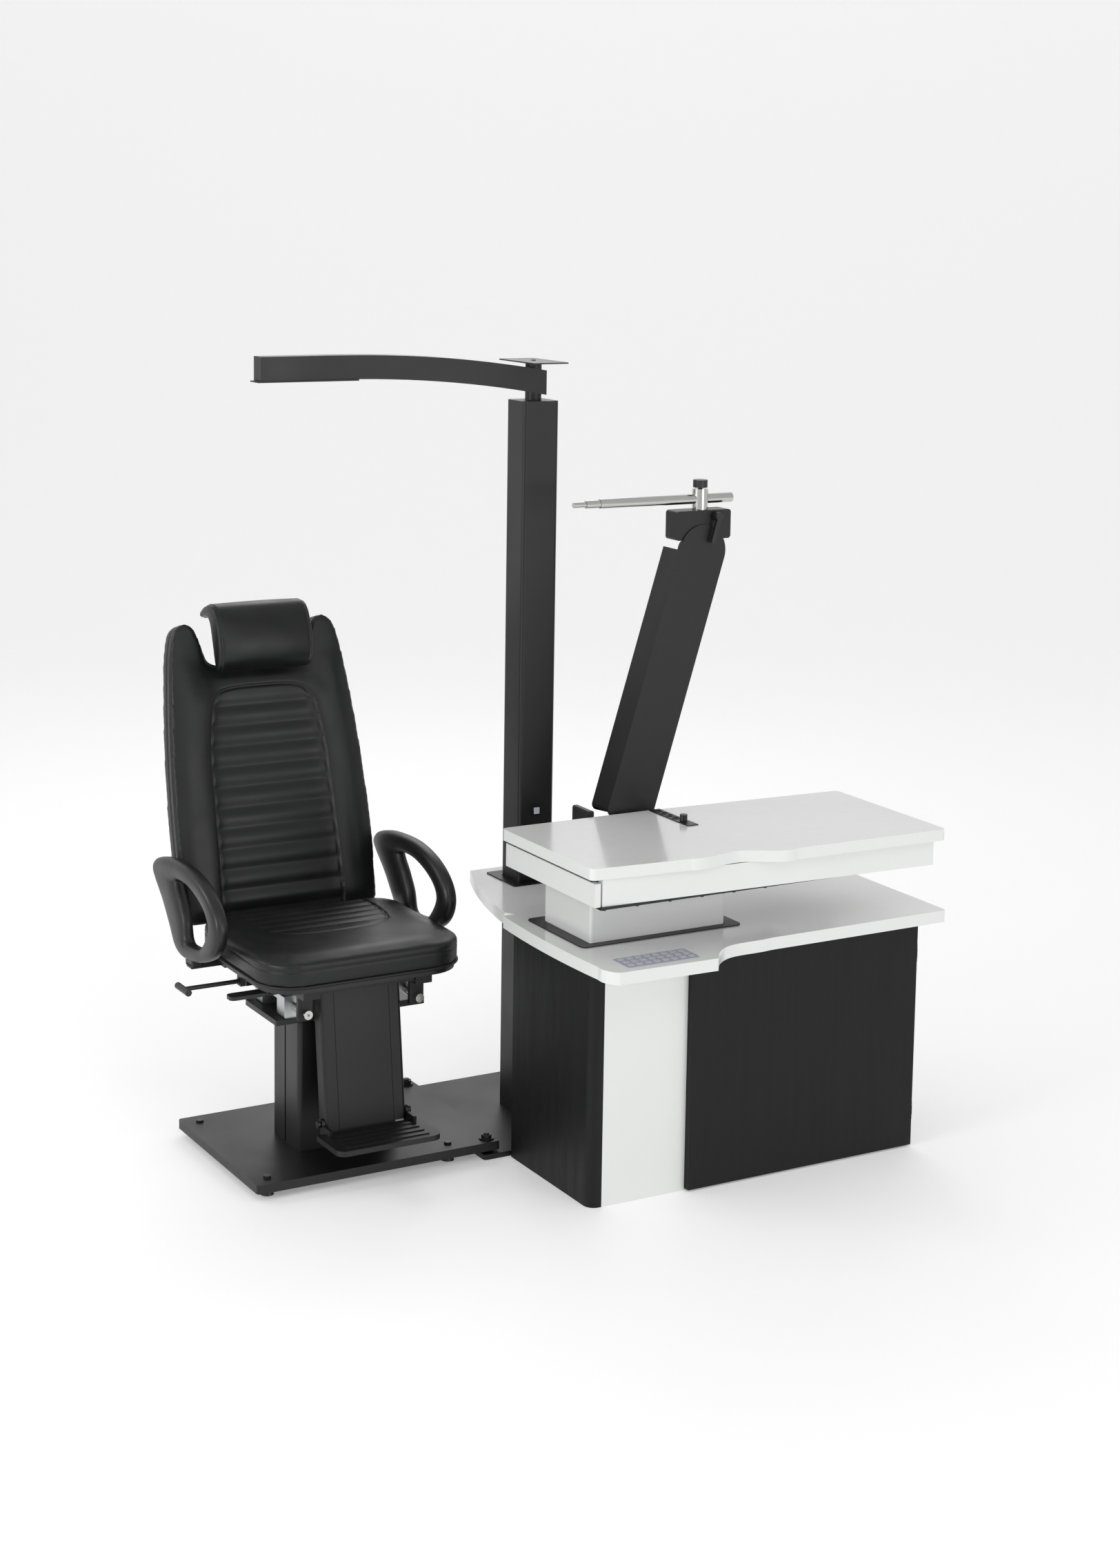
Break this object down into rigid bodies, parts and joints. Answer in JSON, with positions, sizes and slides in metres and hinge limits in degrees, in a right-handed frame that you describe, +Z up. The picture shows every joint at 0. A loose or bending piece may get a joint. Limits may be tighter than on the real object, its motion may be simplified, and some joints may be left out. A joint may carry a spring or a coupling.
{
  "type": "ophthalmic refraction unit",
  "caption": "Eye examination unit: reclining patient chair, post with overhead lamp arm, cabinet with two worktops, and a parallel arm with a chrome rod that carries a phoropter.",
  "frame": {"origin": "on the floor under the axis of the square post, where the lamp arm turns", "axes": "+X along the cabinet towards the operator's end, away from the chair; +Y towards the back; +Z up"},
  "size_m": [1.5615, 1.2366, 1.782],
  "materials": {
    "black_enamel": "satin powder coat",
    "black_fastener": "satin",
    "black_laminate": "matt laminate",
    "white_lacquer": "gloss",
    "white_board": "satin",
    "black_plastic": "satin",
    "arm_pad_rubber": "satin",
    "zinc_steel": "satin",
    "bearing_aluminium": "machined",
    "chrome": "polished",
    "grey_film": "satin",
    "diffuser": "frosted",
    "black_leather": "satin"
  },
  "bodies": {
    "base": {"chair_base_plate": "black_enamel", "column_floor_plate": "black_enamel", "levelling_feet": "black_fastener", "plate_clamp_bolts": "black_fastener", "column_post": "black_enamel", "lamp_spindle": "black_enamel", "cabinet_left_side": "black_laminate", "cabinet_corner_trim": "black_laminate", "cabinet_front_panel": "white_lacquer", "cabinet_right_side": "black_laminate", "cabinet_back": "black_laminate", "cabinet_inner_boards": "white_board", "door_hinges": "zinc_steel", "lower_worktop": "white_lacquer", "worktop_collars": "black_enamel", "keypad_panel": "grey_film", "table_lift_outer": "zinc_steel", "arm_pedestal": "black_enamel", "chair_column_outer": "black_enamel"},
    "rocker": {"rocker_switch": "black_plastic"},
    "lamp": {"lamp_arm": "black_enamel", "lamp_lip_plate": "black_enamel", "lamp_diffuser": "diffuser"},
    "projector_shelf": {"projector_plate": "black_enamel"},
    "table": {"table_top": "white_lacquer", "table_sub_board": "black_enamel", "table_apron": "white_lacquer", "table_under_plate": "black_enamel", "lift_housing": "white_lacquer", "table_lift_inner": "zinc_steel", "control_strip": "black_enamel"},
    "drawer": {"drawer_front": "white_lacquer", "drawer_box": "white_board"},
    "knob": {"control_knob": "black_plastic"},
    "door": {"cabinet_door": "black_laminate"},
    "arm": {"arm_front_plate": "black_enamel", "arm_side_cover": "black_enamel"},
    "link": {"leveling_link": "zinc_steel"},
    "head": {"arm_head": "black_enamel"},
    "lever": {"clamp_lever": "black_plastic"},
    "barrel": {"rod_barrel": "chrome"},
    "rod": {"phoropter_rod": "chrome"},
    "clamp": {"clamp_knob": "black_plastic"},
    "carriage": {"chair_column_inner": "zinc_steel", "carriage_plate": "black_enamel", "pedestal_front_panel": "black_enamel", "slide_bearing_blocks": "bearing_aluminium", "footrest_bolts": "black_fastener"},
    "foot_board": {"footrest": "black_enamel"},
    "seat": {"slide_shafts": "chrome", "seat_frame": "black_enamel", "seat_pan": "black_plastic", "seat_cushion": "black_leather"},
    "arm_left": {"armrest_left": "arm_pad_rubber"},
    "arm_right": {"armrest_right": "arm_pad_rubber"},
    "back": {"backrest_cushion": "black_leather", "backrest_bracket": "black_enamel"},
    "head_pad": {"headrest": "black_leather"},
    "recline_handle": {"recline_lever": "black_plastic"},
    "slide_handle": {"slide_lever": "black_plastic"}
  },
  "joints": [
    {"name": "switch_rock", "type": "hinge", "parent": "base", "child": "rocker", "pos_m": [-0.001, -0.0415, 0.73], "axis": [1, 0, 0], "range_deg": [0, 12]},
    {"name": "lamp_swing", "type": "hinge", "parent": "base", "child": "lamp", "pos_m": [0, 0, 1.7], "axis": [0, 0, 1], "range_deg": [-90, 90]},
    {"name": "projector_swivel", "type": "hinge", "parent": "base", "child": "projector_shelf", "pos_m": [0, 0, 1.74], "axis": [0, 0, 1], "range_deg": [-180, 180]},
    {"name": "table_lift", "type": "slide", "parent": "base", "child": "table", "axis": [0, 0, 1], "range_m": [0, 0.22]},
    {"name": "drawer_slide", "type": "slide", "parent": "table", "child": "drawer", "axis": [0, -1, 0], "range_m": [0, 0.25]},
    {"name": "knob_turn", "type": "hinge", "parent": "table", "child": "knob", "pos_m": [0.168, -0.408, 0.77], "axis": [0, 0, 1], "range_deg": [0, 270]},
    {"name": "door_swing", "type": "hinge", "parent": "base", "child": "door", "pos_m": [0.672, -0.603, 0.265], "axis": [0, 0, 1], "range_deg": [0, 100]},
    {"name": "arm_tilt", "type": "hinge", "parent": "base", "child": "arm", "pos_m": [0.12, -0.23, 0.77], "axis": [0, 1, 0], "range_deg": [-28, 10]},
    {"name": "head_level", "type": "hinge", "parent": "arm", "child": "head", "pos_m": [0.29542, -0.24, 1.34378], "axis": [0, 1, 0], "range_deg": [-10, 28]},
    {"name": "link_tilt", "type": "hinge", "parent": "base", "child": "link", "pos_m": [0.094, -0.253, 0.746], "axis": [0, 1, 0], "range_deg": [-28, 10]},
    {"name": "lever_turn", "type": "hinge", "parent": "head", "child": "lever", "pos_m": [0.329, -0.272, 1.422], "axis": [0, 1, 0], "range_deg": [-40, 60]},
    {"name": "barrel_swivel", "type": "hinge", "parent": "head", "child": "barrel", "pos_m": [0.3, -0.24, 1.43], "axis": [0, 0, 1], "range_deg": [-25, 90]},
    {"name": "rod_slide", "type": "slide", "parent": "barrel", "child": "rod", "axis": [1, 0, 0], "range_m": [-0.05, 0.22]},
    {"name": "clamp_turn", "type": "hinge", "parent": "barrel", "child": "clamp", "pos_m": [0.3, -0.24, 1.49], "axis": [0, 0, 1], "range_deg": [0, 180]},
    {"name": "chair_lift", "type": "slide", "parent": "base", "child": "carriage", "axis": [0, 0, 1], "range_m": [0, 0.2]},
    {"name": "footrest_fold", "type": "hinge", "parent": "carriage", "child": "foot_board", "pos_m": [-0.5, -0.178, 0.124], "axis": [-1, 0, 0], "range_deg": [0, 80]},
    {"name": "seat_slide", "type": "slide", "parent": "carriage", "child": "seat", "axis": [0, -1, 0], "range_m": [-0.04, 0.06]},
    {"name": "backrest_recline", "type": "hinge", "parent": "seat", "child": "back", "pos_m": [-0.5, 0.225, 0.425], "axis": [-1, 0, 0], "range_deg": [0, 35]},
    {"name": "headrest_slide", "type": "slide", "parent": "back", "child": "head_pad", "axis": [0, 0.2605, 0.9655], "range_m": [0, 0.07]},
    {"name": "armrest_left_slide", "type": "slide", "parent": "seat", "child": "arm_left", "axis": [-1, 0, 0], "range_m": [0, 0.03]},
    {"name": "armrest_right_slide", "type": "slide", "parent": "seat", "child": "arm_right", "axis": [1, 0, 0], "range_m": [0, 0.03]},
    {"name": "recline_lever_turn", "type": "hinge", "parent": "seat", "child": "recline_handle", "pos_m": [-0.78, 0.01, 0.41], "axis": [1, 0, 0], "range_deg": [0, 60]},
    {"name": "slide_lever_lift", "type": "hinge", "parent": "seat", "child": "slide_handle", "pos_m": [-0.685, -0.09, 0.416], "axis": [0, 1, 0], "range_deg": [0, 10]}
  ],
  "couplings": [
    {"joint": "head_level", "follows": "arm_tilt", "ratio": -1},
    {"joint": "link_tilt", "follows": "arm_tilt", "ratio": 1}
  ]
}
